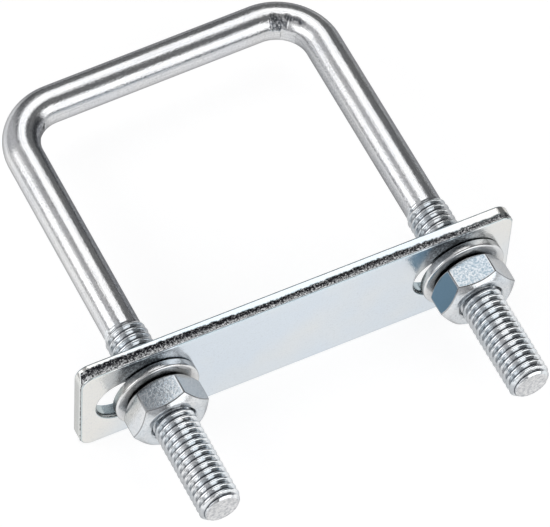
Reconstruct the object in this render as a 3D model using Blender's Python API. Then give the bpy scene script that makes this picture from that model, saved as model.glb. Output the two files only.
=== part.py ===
"""U-bolt clamp: a bent rod with two threaded legs, a slotted plate, two flat washers, two hexagon nuts.

Metres, +Z up. The U lies flat: +X runs along the plate, +Y along the legs from nuts to crossbar.
The origin is on the plate's clamping face, midway between the legs.
"""
from math import ceil, cos, pi, radians, sin, tan

import bmesh
import bpy
from mathutils import Matrix

# Bent rod: a thread-rolling blank, a little thinner than the thread's crests. Its crossbar is bent
# slightly out of square to the legs, higher on the right
ROD_DIAMETER = 0.0070
INSIDE_WIDTH = 0.0530
INSIDE_LENGTH = 0.0866
BEND_INSIDE_RADIUS = 0.0057
CROSSBAR_SKEW = radians(1.15)

# Rolled coarse thread, right-hand
THREAD_DIAMETER = 0.0079
THREAD_PITCH = 0.00125
LEFT_THREAD_LENGTH = 0.0400
RIGHT_THREAD_LENGTH = 0.0417
THREAD_CREST_FLAT = 0.00016
THREAD_ROOT_FLAT = 0.00022
THREAD_HALF_ANGLE = radians(30)
THREAD_RUNOUT = 0.0016
STUD_CHAMFER = 0.0007

# Play between a nut's thread and a stud's
THREAD_RADIAL_PLAY = 0.0002
THREAD_FLANK_PLAY = 0.0001

# Slotted plate: slots stand a little wider apart than the legs, and the plate lies off centre in them
PLATE_WIDTH = 0.0210
PLATE_THICKNESS = 0.0030
PLATE_CORNER_RADIUS = 0.0025
PLATE_EDGE_ROUND = 0.0003
PLATE_END_LAND = 0.0031
PLATE_SHIFT = -0.0020
SLOT_LENGTH = 0.0160
SLOT_SPREAD = 0.0018
SLOT_PLAY = 0.0021

# Flat washers
WASHER_DIAMETER = 0.0160
WASHER_THICKNESS = 0.0015
WASHER_PLAY = 0.0005
WASHER_EDGE_ROUND = 0.0003

# Hexagon nuts, with the angle from +X towards +Z at which a corner of each one stands
NUT_ACROSS_FLATS = 0.0130
NUT_HEIGHT = 0.0063
NUT_CHAMFER_ANGLE = radians(36)
NUT_FACE_INSET = 0.0007
NUT_COUNTERSINK = 0.0003
LEFT_NUT_TURN = radians(12)
RIGHT_NUT_TURN = radians(7)

# Assembly
SEAT_GAP = 0.0002
STUD_STANDOUT = 0.0190

# Facets
ROD_FACETS = 16
BEND_STEPS = 8
TURNED_FACETS = 36
CORNER_STEPS = 4
CUTTER_MARGIN = 0.0010

# Stations along the legs, outwards from the plate's clamping face at 0
PLATE_FRONT = -PLATE_THICKNESS
WASHER_SEAT = PLATE_FRONT - SEAT_GAP
NUT_SEAT = WASHER_SEAT - WASHER_THICKNESS - SEAT_GAP
STUD_END = NUT_SEAT - NUT_HEIGHT - STUD_STANDOUT
LEG_TOP = STUD_END + max(LEFT_THREAD_LENGTH, RIGHT_THREAD_LENGTH) + 3 * THREAD_PITCH

# Sizes that follow from the ones above
ROD_RADIUS = ROD_DIAMETER / 2
CREST_RADIUS = THREAD_DIAMETER / 2
FLANK_SLOPE = tan(THREAD_HALF_ANGLE)
THREAD_DEPTH = (THREAD_PITCH - THREAD_CREST_FLAT - THREAD_ROOT_FLAT) / 2 / FLANK_SLOPE
ROOT_RADIUS = CREST_RADIUS - THREAD_DEPTH
LEG_X = (INSIDE_WIDTH + ROD_DIAMETER) / 2
CROSSBAR_Y = STUD_END + INSIDE_LENGTH + ROD_RADIUS
BEND_RADIUS = BEND_INSIDE_RADIUS + ROD_RADIUS
SLOT_X = LEG_X + SLOT_SPREAD / 2
SLOT_WIDTH = THREAD_DIAMETER + SLOT_PLAY
PLATE_LENGTH = 2 * SLOT_X + SLOT_LENGTH + 2 * PLATE_END_LAND
WASHER_HOLE_RADIUS = (THREAD_DIAMETER + WASHER_PLAY) / 2
NUT_CORNER_RADIUS = NUT_ACROSS_FLATS / 2 / cos(pi / 6)


def new_object(name, mesh_builder, location):
    """Link an object whose mesh comes from a bmesh, welded and with its normals pointing out."""
    bmesh.ops.remove_doubles(mesh_builder, verts=mesh_builder.verts, dist=1e-6)
    bmesh.ops.recalc_face_normals(mesh_builder, faces=mesh_builder.faces)
    mesh = bpy.data.meshes.new(name)
    mesh_builder.to_mesh(mesh)
    mesh_builder.free()
    obj = bpy.data.objects.new(name, mesh)
    obj.location = location
    bpy.context.scene.collection.objects.link(obj)
    return obj


def combine(target, operand, operation):
    """Cut or trim the target with an operand that is only a guide."""
    operand.hide_render = True
    operand.display_type = 'WIRE'
    operand.parent = target
    operand.matrix_parent_inverse = Matrix.Translation(target.location).inverted()
    step = target.modifiers.new(operand.name, 'BOOLEAN')
    step.operation = operation
    step.solver = 'EXACT'
    step.object = operand


def turned(name, profile, location, start=0.0):
    """Spin a closed (radius, y) outline about the Y axis, from a start angle."""
    shape = bmesh.new()
    points = [shape.verts.new((radius * sin(start), y, radius * cos(start))) for radius, y in profile]
    edges = [shape.edges.new((points[i - 1], points[i])) for i in range(len(points))]
    bmesh.ops.spin(shape, geom=points + edges, cent=(0, 0, 0), axis=(0, 1, 0), angle=2 * pi,
                   steps=TURNED_FACETS, use_merge=True)
    return new_object(name, shape, location)


def thread_outline(extra_radius=0.0, extra_width=0.0):
    """One pitch of thread as (y, radius): crest, flank, root, flank.

    A tap's outline is the stud's, larger by the play left between them.
    """
    crest = CREST_RADIUS + extra_radius
    root = ROOT_RADIUS + extra_radius
    half_crest = THREAD_CREST_FLAT / 2 - extra_radius * FLANK_SLOPE + extra_width
    half_root = half_crest + THREAD_DEPTH * FLANK_SLOPE
    return (-half_crest, crest), (half_crest, crest), (half_root, root), (THREAD_PITCH - half_root, root)


def rod_ring(shape, y):
    """The rod's section as a ring of points about Y, one for each column of the thread."""
    angles = [2 * pi * j / ROD_FACETS for j in range(ROD_FACETS)]
    return [shape.verts.new((ROD_RADIUS * sin(a), y, ROD_RADIUS * cos(a))) for a in angles]


def screw_surface(shape, outline, first_turn, last_turn, trim):
    """Add a right-hand thread's surface about Y, and return its low and high rims.

    The outline repeats each turn and climbs one pitch along +Y as it goes round: column j stands at
    j / facets of a turn and is that share of a pitch higher, and the last column closes on the first
    one a whole pitch further up. trim(y, radius) gives the radius where the thread begins or ends.
    """
    per_turn = len(outline)
    turns = range(first_turn, last_turn)
    rows = [(turn * THREAD_PITCH + y, radius) for turn in turns for y, radius in outline]
    high = len(rows) - per_turn - 1
    columns = []
    for j in range(ROD_FACETS):
        angle = 2 * pi * j / ROD_FACETS
        lift = THREAD_PITCH * j / ROD_FACETS
        column = []
        for y, radius in rows[:None if j == 0 else -per_turn]:
            reach = trim(y + lift, radius)
            column.append(shape.verts.new((reach * sin(angle), y + lift, reach * cos(angle))))
        columns.append(column)
    for left, right in zip(columns, columns[1:] + [columns[0][per_turn:]]):
        for row in range(high):
            shape.faces.new((left[row], right[row], right[row + 1], left[row + 1]))
    low_rim = [column[0] for column in columns] + columns[0][per_turn:0:-1]
    high_rim = [column[high] for column in columns] + columns[0][:high:-1]
    return low_rim, high_rim


def add_material(obj, colour, roughness, metallic):
    """Give the piece its own plain finish."""
    material = bpy.data.materials.new(obj.name)
    material.use_nodes = True
    shader = material.node_tree.nodes['Principled BSDF']
    shader.inputs['Base Color'].default_value = (*colour, 1.0)
    shader.inputs['Roughness'].default_value = roughness
    shader.inputs['Metallic'].default_value = metallic
    obj.data.materials.append(material)


def shade(obj, sharp_angle=radians(35)):
    """Smooth round faces and keep corners crisp."""
    obj.data.shade_smooth()
    obj.data.set_sharp_from_angle(angle=sharp_angle)


def leg_thread(length):
    """One leg's rolled thread from its stud end at y = 0, chamfered there and fading into the rod above."""
    def trim(y, radius):
        fade = min(max((length - y) / THREAD_RUNOUT, 0), 1)
        faded = ROD_RADIUS + (radius - ROD_RADIUS) * fade
        return min(faded, CREST_RADIUS - STUD_CHAMFER + max(y, 0))

    shape = bmesh.new()
    turns = ceil(length / THREAD_PITCH)
    rims = screw_surface(shape, thread_outline(), -2, turns + 2, trim)
    high_rim = rims[1][:ROD_FACETS]
    step = rims[1][ROD_FACETS:]
    ring = rod_ring(shape, LEG_TOP - STUD_END)
    shape.faces.new([high_rim[0], high_rim[1], ring[1], ring[0]] + step)
    for j in range(1, ROD_FACETS - 1):
        shape.faces.new((high_rim[j], high_rim[j + 1], ring[j + 1], ring[j]))
    shape.faces.new((high_rim[-1], step[0], ring[0], ring[-1]))
    everything = shape.verts[:] + shape.edges[:] + shape.faces[:]
    cut = bmesh.ops.bisect_plane(shape, geom=everything, dist=1e-7, plane_co=(0, 0, 0), plane_no=(0, -1, 0),
                                 clear_outer=True)['geom_cut']
    end = [item for item in cut if isinstance(item, bmesh.types.BMEdge)]
    bmesh.ops.edgeloop_fill(shape, edges=end)
    return shape


def bent_rod():
    """The plain rod, open at both ends: drawn up the left leg, round both bends and down the right leg."""
    shape = bmesh.new()
    bend_x = LEG_X - BEND_RADIUS
    inset = BEND_RADIUS * sin(CROSSBAR_SKEW)
    rise = tan(CROSSBAR_SKEW)
    left_bend_y = CROSSBAR_Y - rise * (bend_x + inset) - BEND_RADIUS * cos(CROSSBAR_SKEW)
    right_bend_y = CROSSBAR_Y + rise * (bend_x - inset) - BEND_RADIUS * cos(CROSSBAR_SKEW)
    foot = rod_ring(shape, LEG_TOP)
    bmesh.ops.translate(shape, verts=foot, vec=(-LEG_X, 0, 0))

    def draw(ring, along):
        """Extrude the ring along a straight run."""
        drawn = bmesh.ops.extrude_edge_only(shape, edges=ring)['geom']
        points = [item for item in drawn if isinstance(item, bmesh.types.BMVert)]
        bmesh.ops.translate(shape, verts=points, vec=along)
        return [item for item in drawn if isinstance(item, bmesh.types.BMEdge)]

    def bend(ring, centre_x, centre_y, angle):
        """Spin the ring through a bend, clockwise seen from above."""
        swept = bmesh.ops.spin(shape, geom=ring, cent=(centre_x, centre_y, 0), axis=(0, 0, 1),
                               angle=-angle, steps=BEND_STEPS)
        return [item for item in swept['geom_last'] if isinstance(item, bmesh.types.BMEdge)]

    ring = [shape.edges.new((foot[j - 1], foot[j])) for j in range(ROD_FACETS)]
    ring = draw(ring, (0, left_bend_y - LEG_TOP, 0))
    ring = bend(ring, -bend_x, left_bend_y, pi / 2 - CROSSBAR_SKEW)
    ring = draw(ring, (2 * bend_x, right_bend_y - left_bend_y, 0))
    ring = bend(ring, bend_x, right_bend_y, pi / 2 + CROSSBAR_SKEW)
    draw(ring, (0, LEG_TOP - right_bend_y, 0))
    return shape


def make_u_bolt():
    """Bent rod and both threaded legs, welded ring to ring into one solid."""
    shape = bent_rod()
    carrier = bpy.data.meshes.new('leg_thread')
    for leg_x, length in ((-LEG_X, LEFT_THREAD_LENGTH), (LEG_X, RIGHT_THREAD_LENGTH)):
        leg = leg_thread(length)
        leg.transform(Matrix.Translation((leg_x, STUD_END, 0)))
        leg.to_mesh(carrier)
        leg.free()
        shape.from_mesh(carrier)
    bpy.data.meshes.remove(carrier)
    bolt = new_object('u_bolt', shape, (0, 0, 0))
    add_material(bolt, (0.72, 0.73, 0.75), 0.28, 1.0)
    shade(bolt)


def slab(name, length, width, low_y, high_y, corner_radius, location):
    """A flat block in the XZ plane, between two Y stations, with rounded corners."""
    shape = bmesh.new()
    size = Matrix.Diagonal((length, high_y - low_y, width, 1))
    place = Matrix.Translation((0, (low_y + high_y) / 2, 0))
    bmesh.ops.create_cube(shape, size=1, matrix=place @ size)
    across = [edge for edge in shape.edges if abs(edge.verts[0].co.y - edge.verts[1].co.y) > 1e-6]
    bmesh.ops.bevel(shape, geom=across, offset=corner_radius, offset_type='OFFSET', segments=CORNER_STEPS,
                    profile=0.5, affect='EDGES', clamp_overlap=True)
    return new_object(name, shape, location)


def make_clamp_plate():
    """Punched strip: rounded corners, a slot for each leg and slightly rolled edges on the nuts' side."""
    plate = slab('clamp_plate', PLATE_LENGTH, PLATE_WIDTH, PLATE_FRONT, 0, PLATE_CORNER_RADIUS,
                 (PLATE_SHIFT, 0, 0))
    shape = bmesh.new()
    shape.from_mesh(plate.data)
    front_edges = [edge for edge in shape.edges if max(vert.co.y for vert in edge.verts) < PLATE_FRONT / 2]
    bmesh.ops.bevel(shape, geom=front_edges, offset=PLATE_EDGE_ROUND, segments=1, affect='EDGES')
    shape.to_mesh(plate.data)
    shape.free()
    for side, offset in (('left', -SLOT_X), ('right', SLOT_X)):
        slot = slab(side + '_slot', SLOT_LENGTH, SLOT_WIDTH, PLATE_FRONT - CUTTER_MARGIN, CUTTER_MARGIN,
                    SLOT_WIDTH / 2, (PLATE_SHIFT + offset, 0, 0))
        combine(plate, slot, 'DIFFERENCE')
    add_material(plate, (0.76, 0.78, 0.80), 0.33, 1.0)
    shade(plate)


def make_washer(name, leg_x):
    """Stamped ring with its outer rim rounded on the nut's side."""
    outer = WASHER_DIAMETER / 2
    front = -WASHER_THICKNESS
    washer = turned(name, (
        (WASHER_HOLE_RADIUS, 0),
        (WASHER_HOLE_RADIUS, front),
        (outer - WASHER_EDGE_ROUND, front),
        (outer, front + WASHER_EDGE_ROUND),
        (outer, 0),
    ), (leg_x, WASHER_SEAT, 0))
    add_material(washer, (0.78, 0.78, 0.78), 0.30, 1.0)
    shade(washer)


def tap(name, leg_x):
    """The cutter for a nut's thread, in step with the stud's and longer than the nut."""
    shape = bmesh.new()
    outline = thread_outline(THREAD_RADIAL_PLAY, THREAD_FLANK_PLAY)
    first_turn = int((STUD_STANDOUT - CUTTER_MARGIN) / THREAD_PITCH) - 1
    last_turn = int((STUD_STANDOUT + NUT_HEIGHT + CUTTER_MARGIN) / THREAD_PITCH) + 3
    for rim in screw_surface(shape, outline, first_turn, last_turn, lambda y, radius: radius):
        centre = shape.verts.new((0, sum(vert.co.y for vert in rim) / len(rim), 0))
        for i, vert in enumerate(rim):
            shape.faces.new((rim[i - 1], vert, centre))
    bmesh.ops.triangulate(shape, faces=shape.faces)
    return new_object(name, shape, (leg_x, STUD_END, 0))


def make_nut(name, leg_x, turn):
    """Hexagon nut: chamfered and countersunk on both faces, tapped in step with the stud's thread."""
    shape = bmesh.new()
    face_along_y = Matrix.Rotation(radians(90), 4, 'X')
    corner_from_z_to_turn = Matrix.Rotation(radians(90) - turn, 4, 'Y')
    middle = Matrix.Translation((0, -NUT_HEIGHT / 2, 0))
    bmesh.ops.create_cone(shape, cap_ends=True, segments=6, radius1=NUT_CORNER_RADIUS,
                          radius2=NUT_CORNER_RADIUS, depth=NUT_HEIGHT + 2 * CUTTER_MARGIN,
                          matrix=middle @ corner_from_z_to_turn @ face_along_y)
    nut = new_object(name, shape, (leg_x, NUT_SEAT, 0))

    face = NUT_ACROSS_FLATS / 2 - NUT_FACE_INSET
    over = NUT_CORNER_RADIUS + CUTTER_MARGIN
    drop = (over - face) * tan(NUT_CHAMFER_ANGLE)
    sink = CREST_RADIUS + THREAD_RADIAL_PLAY + NUT_COUNTERSINK
    pilot = ROOT_RADIUS + THREAD_RADIAL_PLAY - CUTTER_MARGIN
    seat_half = ((pilot, pilot - sink), (sink, 0), (face, 0), (over, -drop))
    front_half = tuple((radius, -NUT_HEIGHT - y) for radius, y in reversed(seat_half))
    corner_mid_facet = radians(90) - turn + pi / TURNED_FACETS
    blank = turned(name + '_blank', seat_half + front_half, (leg_x, NUT_SEAT, 0), corner_mid_facet)
    combine(nut, blank, 'INTERSECT')
    combine(nut, tap(name + '_tap', leg_x), 'DIFFERENCE')
    add_material(nut, (0.70, 0.72, 0.74), 0.26, 1.0)
    shade(nut)


for old in list(bpy.data.objects):
    bpy.data.objects.remove(old, do_unlink=True)

make_u_bolt()
make_clamp_plate()
make_washer('left_washer', -LEG_X)
make_washer('right_washer', LEG_X)
make_nut('left_nut', -LEG_X, LEFT_NUT_TURN)
make_nut('right_nut', LEG_X, RIGHT_NUT_TURN)
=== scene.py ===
"""Looks of the u-bolt clamp: bright zinc-plated rod, plate, washers and nuts, on a pale studio floor.

Metres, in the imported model's frame: +X along the plate, +Y along the legs towards the crossbar, +Z up.
"""
from math import ceil, cos, pi, radians, sin, tan

import bmesh
import bpy
import numpy as np
from mathutils import Matrix, Vector


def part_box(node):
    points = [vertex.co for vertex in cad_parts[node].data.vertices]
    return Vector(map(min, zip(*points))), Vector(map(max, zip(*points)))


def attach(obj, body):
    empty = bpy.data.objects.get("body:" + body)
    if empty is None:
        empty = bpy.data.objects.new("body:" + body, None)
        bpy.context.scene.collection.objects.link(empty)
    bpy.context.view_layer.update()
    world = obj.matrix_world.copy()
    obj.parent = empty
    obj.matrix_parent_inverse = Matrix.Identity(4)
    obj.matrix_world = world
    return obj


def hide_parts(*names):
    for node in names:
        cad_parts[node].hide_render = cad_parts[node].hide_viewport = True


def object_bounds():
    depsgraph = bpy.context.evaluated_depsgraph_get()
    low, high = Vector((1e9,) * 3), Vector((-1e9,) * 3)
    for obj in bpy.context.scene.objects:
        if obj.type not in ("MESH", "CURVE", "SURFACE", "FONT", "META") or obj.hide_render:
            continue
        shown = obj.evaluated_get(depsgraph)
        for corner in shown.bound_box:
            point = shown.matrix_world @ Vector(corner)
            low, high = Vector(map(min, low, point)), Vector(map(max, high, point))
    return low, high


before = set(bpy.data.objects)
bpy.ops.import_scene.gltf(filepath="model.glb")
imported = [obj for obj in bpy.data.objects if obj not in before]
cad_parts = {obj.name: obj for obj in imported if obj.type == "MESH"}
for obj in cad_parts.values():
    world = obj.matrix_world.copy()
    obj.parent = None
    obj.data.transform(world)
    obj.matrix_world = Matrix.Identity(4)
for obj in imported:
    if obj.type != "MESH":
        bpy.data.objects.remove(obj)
cad_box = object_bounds()


# U-bolt: one length of drawn mild steel rod. Both ends have a rolled thread, whose crests stand proud of
# the rod, and then the rod is pressed round a former into two corners. It is zinc plated last.
ROD_RADIUS = 0.0035
BEND_RADIUS = 0.0092
CROSSBAR_SKEW = radians(1.15)
INSIDE_LENGTH = 0.0866
LEFT_THREAD_LENGTH = 0.0400
RIGHT_THREAD_LENGTH = 0.0412
THREAD_PITCH = 0.00125
CREST_RADIUS = 0.00395
ROOT_RADIUS = 0.0032
THREAD_RUNOUT = 0.0016
STUD_END_RADIUS = 0.0031
STUD_END_DISH = 0.00012
DISH_EDGE = (0.55, 1)
FORMER_FACE = 0.00588
FORMER_FACE_HALF = radians(13.6)
FORMER_FACE_EASE = radians(1.5)

# The thread's section, in shares of the pitch, and how far its flanks are rounded.
CREST_HALF_WIDTH = 0.11
ROOT_HALF_WIDTH = 0.05
FLANK_SOFTNESS = 0.25

# Scuffs on the right bend: turn past the crossbar, side, half length and half width, all as angles.
SCUFFS = (
    (radians(25), radians(135), radians(16), radians(28)),
    (radians(46), radians(114), radians(24), radians(9)),
)
SCUFF_FADE = (1, 0.6)
SCUFF_SET_IN = 0.00006
SCUFF_CRUMPLE = 0.00005
SCUFF_CRUMPLE_SIZE = 0.0009
SCUFF_EDGE_SIZE = 0.0022
SCUFF_RAGGEDNESS = 0.18
SCUFF_FILM = 0.8
SCUFF_FILM_UNEVEN = 0.25

# Painted shade along the rod, standing in for shade in the thread's groove and for dark reflections on the
# sides that face one way: amount, and the facing, as a cosine, where each sets in and where it is full.
LEFT_INNER_SHADE = (0.8, 0.45, 0.65)
RIGHT_INNER_SHADE = (0.5, 0.80, 0.97)
RIGHT_OUTER_SHADE = (0.65, 0.52, 0.66)
CROSSBAR_OUTER_SHADE = (0.65, 0.36, 0.54)
CROSSBAR_INNER_SHADE = (0.18, 0.60, 0.85)
THREAD_SIDE_SHADE = (0.4, 0.88, 0.97)
NECK_SHADE = (0.45, 0.56, 0.72)
NECK_RISE = (0.030, 0.033)
LEFT_LEG_TURN = (1.3, 0.8)
RIGHT_LEG_TURN = (2.3, 2.9)
GROOVE_SHADE_TOP = 0.24
GROOVE_SHADE_FADE = 0.20

ROD_COLUMNS = 72
THREAD_SAMPLES = 16
DISH_ROWS = 9
BEND_ROWS = 100
WELD_REACH = 2e-7
SLIVER = 1e-7
ROD_FINISH, THREAD_FINISH, END_FINISH = 0, 1, 2

stud_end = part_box("u_bolt")[0].y
leg_x = sum(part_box("right_washer"), Vector()).x / 2
leg_top = stud_end + RIGHT_THREAD_LENGTH + 2 * THREAD_PITCH


def add_piece(name, surfaces, materials):
    """Weld grids of points into one mesh.

    Each surface is (points, uv, material index, wear and shade). points[row, column] is a place in metres,
    and four neighbours in the grid make a face. Points of two grids that meet at the same place become one.
    Below 0, down to -1, the wear and shade darkens a finish: real film in some places, and in many others
    painted shade that stands in for shade and dark reflections. Above 0, up to 1, it is the finish's second
    mark: rubbed metal on the washers, painted dark lines of shade along the nuts' edges, and on the plate
    painted dark reflection and shade above the washers.
    """
    points, uvs, faces, finishes, wear_and_shade_values, first = [], [], [], [], [], 0
    for grid, uv, finish, wear_and_shade in surfaces:
        rows, columns = grid.shape[:2]
        corner = first + np.arange(rows - 1)[:, None] * columns + np.arange(columns - 1)
        quads = np.stack([corner, corner + 1, corner + columns + 1, corner + columns], -1).reshape(-1, 4)
        points.append(grid.reshape(-1, 3))
        uvs.append(np.broadcast_to(uv, (rows, columns, 2)).reshape(-1, 2))
        wear_and_shade_values.append(np.broadcast_to(wear_and_shade, (rows, columns)).ravel())
        faces.append(quads)
        finishes.append(np.full(len(quads), finish, np.int32))
        first += rows * columns
    faces = np.concatenate(faces)
    mesh = bpy.data.meshes.new(name)
    mesh.from_pydata(np.concatenate(points), [], faces)
    mesh.polygons.foreach_set("material_index", np.concatenate(finishes))
    marks = mesh.attributes.new("wear_and_shade", "FLOAT", "POINT")
    marks.data.foreach_set("value", np.concatenate(wear_and_shade_values).astype(np.float32))
    corner_uvs = np.concatenate(uvs)[faces.ravel()].astype(np.float32)
    mesh.uv_layers.new(name="surface").uv.foreach_set("vector", corner_uvs.ravel())
    weld = bmesh.new()
    weld.from_mesh(mesh)
    bmesh.ops.remove_doubles(weld, verts=weld.verts, dist=WELD_REACH)
    bmesh.ops.dissolve_degenerate(weld, edges=weld.edges, dist=SLIVER)
    bmesh.ops.recalc_face_normals(weld, faces=weld.faces)
    weld.to_mesh(mesh)
    weld.free()
    mesh.shade_smooth()
    for material in materials:
        mesh.materials.append(material)
    piece = bpy.data.objects.new(name, mesh)
    bpy.context.scene.collection.objects.link(piece)
    return piece


def smooth_step(low, high, value):
    """Rise from 0 at low to 1 at high along 3t^2 - 2t^3."""
    share = np.clip((value - low) / (high - low), 0, 1)
    return share * share * (3 - 2 * share)


def thread_height(turn):
    """Height of a rolled thread, 0 in its groove and 1 on its crest, against the turn count.

    A straight flank is mixed with a little of a soft step, which rounds it into the crest and the groove.
    """
    off_crest = np.abs((turn + 0.5) % 1 - 0.5)
    low, high = 0.5 - ROOT_HALF_WIDTH, CREST_HALF_WIDTH
    straight = np.clip((off_crest - low) / (high - low), 0, 1)
    return straight + FLANK_SOFTNESS * (smooth_step(low, high, off_crest) - straight)


def painted_facing_shade(film_and_shade, facing):
    """Painted shade on the side of the rod that faces one way, standing in for a dark reflection there,
    rising softly as the facing passes its two limits.
    """
    amount, start, full = film_and_shade
    return amount * smooth_step(start, full, facing)


def threaded_leg(x, length):
    """Stud end and rolled thread of one leg.

    Rows follow the right-hand helix: a row climbs one pitch along +Y in one round, and the round's last
    point falls on the start of the row one pitch further up. The radius is the thread's height, brought
    down to the rod at the top and under a cone at the stud end, where a dished disc closes the leg. Painted
    shade lies in the groove, along the thread's left side, on its right side near the top, and on the plain
    rod above it as on the rest of that leg, standing in for shade in the groove and dark reflections.
    """
    turns = ceil((leg_top - stud_end) / THREAD_PITCH)
    turn = np.arange(-THREAD_SAMPLES, turns * THREAD_SAMPLES + 1)[:, None] / THREAD_SAMPLES
    height = thread_height(turn)
    angle = np.linspace(0, 2 * pi, ROD_COLUMNS + 1)[None, :]
    rise = np.clip(THREAD_PITCH * (turn + angle / (2 * pi)), 0, leg_top - stud_end)
    threaded = smooth_step(length, length - THREAD_RUNOUT, rise)
    radius = ROD_RADIUS + (ROOT_RADIUS + (CREST_RADIUS - ROOT_RADIUS) * height - ROD_RADIUS) * threaded
    radius = np.minimum(radius, STUD_END_RADIUS + rise)
    place = np.stack([x + radius * np.sin(angle), stud_end + rise, radius * np.cos(angle)], -1)
    uv = np.stack(np.broadcast_arrays(ROD_RADIUS * angle, rise), -1)

    rightward = np.sin(angle)
    # Painted shade in the thread's groove and on its sides, and painted dark reflections on the plain rod
    # above it.
    on_thread = np.clip((GROOVE_SHADE_TOP - height) / GROOVE_SHADE_FADE, 0, 1)
    on_thread = np.maximum(on_thread, painted_facing_shade(THREAD_SIDE_SHADE, -rightward))
    on_thread = np.maximum(on_thread, smooth_step(*NECK_RISE, rise) * painted_facing_shade(NECK_SHADE, rightward))
    if x < 0:
        on_rod = painted_facing_shade(LEFT_INNER_SHADE, rightward)
    else:
        on_rod = painted_facing_shade(RIGHT_INNER_SHADE, -rightward) + painted_facing_shade(RIGHT_OUTER_SHADE, rightward)
    film_and_shade = np.maximum(on_thread * threaded, on_rod * (1 - threaded))

    share = np.linspace(0, 1, DISH_ROWS)[:, None]
    reach = STUD_END_RADIUS * share
    dish = stud_end + STUD_END_DISH * (1 - smooth_step(*DISH_EDGE, share)) + 0 * angle
    end = np.stack([x + reach * np.sin(angle), dish, reach * np.cos(angle)], -1)
    plain = np.searchsorted(turn[:, 0], (length - THREAD_RUNOUT / 2) / THREAD_PITCH)
    return [
        (place[:plain + 1], uv[:plain + 1], THREAD_FINISH, -film_and_shade[:plain + 1]),
        (place[plain:], uv[plain:], ROD_FINISH, -film_and_shade[plain:]),
        (end, end[..., [0, 2]], END_FINISH, 0),
    ]


def ripples(first, second, wavelength, seed, count=48):
    """Uneven surface of about unit height: a sum of sine ripples of like lengths in random directions."""
    draw = np.random.default_rng(seed)
    heading = draw.uniform(0, pi, count)
    wave = 2 * pi / wavelength * draw.uniform(0.6, 1.6, count)
    start = draw.uniform(0, 2 * pi, count)
    phase = np.multiply.outer(first, wave * np.cos(heading))
    phase = phase + np.multiply.outer(second, wave * np.sin(heading))
    return np.sin(phase + start).sum(-1) / (count / 2) ** 0.5


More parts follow.
